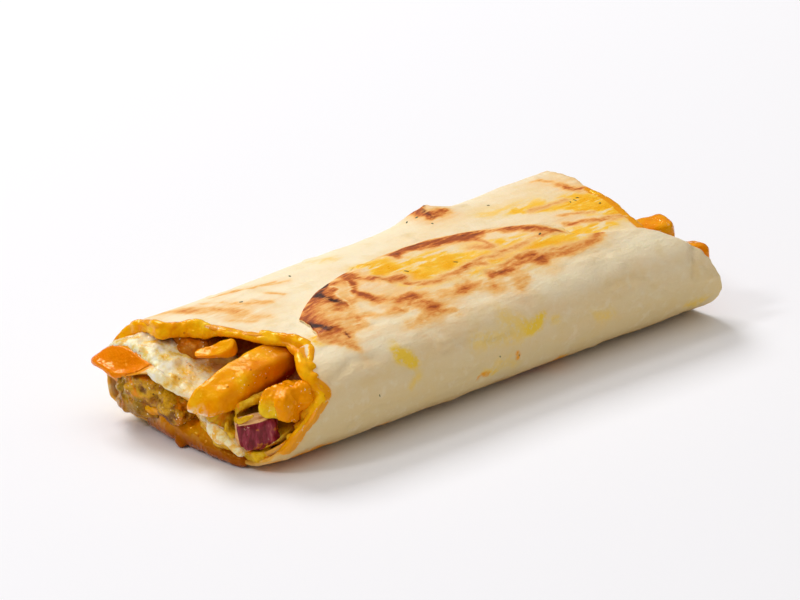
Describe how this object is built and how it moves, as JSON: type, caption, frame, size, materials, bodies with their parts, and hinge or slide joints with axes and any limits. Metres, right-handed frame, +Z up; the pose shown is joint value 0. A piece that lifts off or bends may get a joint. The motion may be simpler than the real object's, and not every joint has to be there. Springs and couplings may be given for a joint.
{
  "type": "shish tawook wrap",
  "caption": "Grilled flatbread wrap with both ends open, rolled round marinated chicken, slaw, fries, red onion and orange sauce.",
  "frame": {"origin": "on the floor, under the middle of the wrap's box", "axes": "+X along the wrap towards the end that the picture hides, +Y towards the far side wall, +Z up"},
  "size_m": [0.1968, 0.081, 0.0373],
  "materials": {
    "bread": "soft, matt, with toasted marks",
    "chicken": "moist, marinated",
    "slaw": "moist, creamy",
    "fries": "glossy with sauce",
    "onion": "moist, translucent",
    "orange_sauce": "wet, glossy"
  },
  "bodies": {
    "root": {"flatbread": "bread", "shown_fry": "fries", "small_fry": "fries", "far_fry_1": "fries", "far_fry_2": "fries", "red_onion": "onion", "coated_chunk": "orange_sauce", "cavity_chicken": "chicken", "orange_sauce": "orange_sauce", "chicken_filling": "chicken", "slaw_filling": "slaw"}
  },
  "joints": []
}
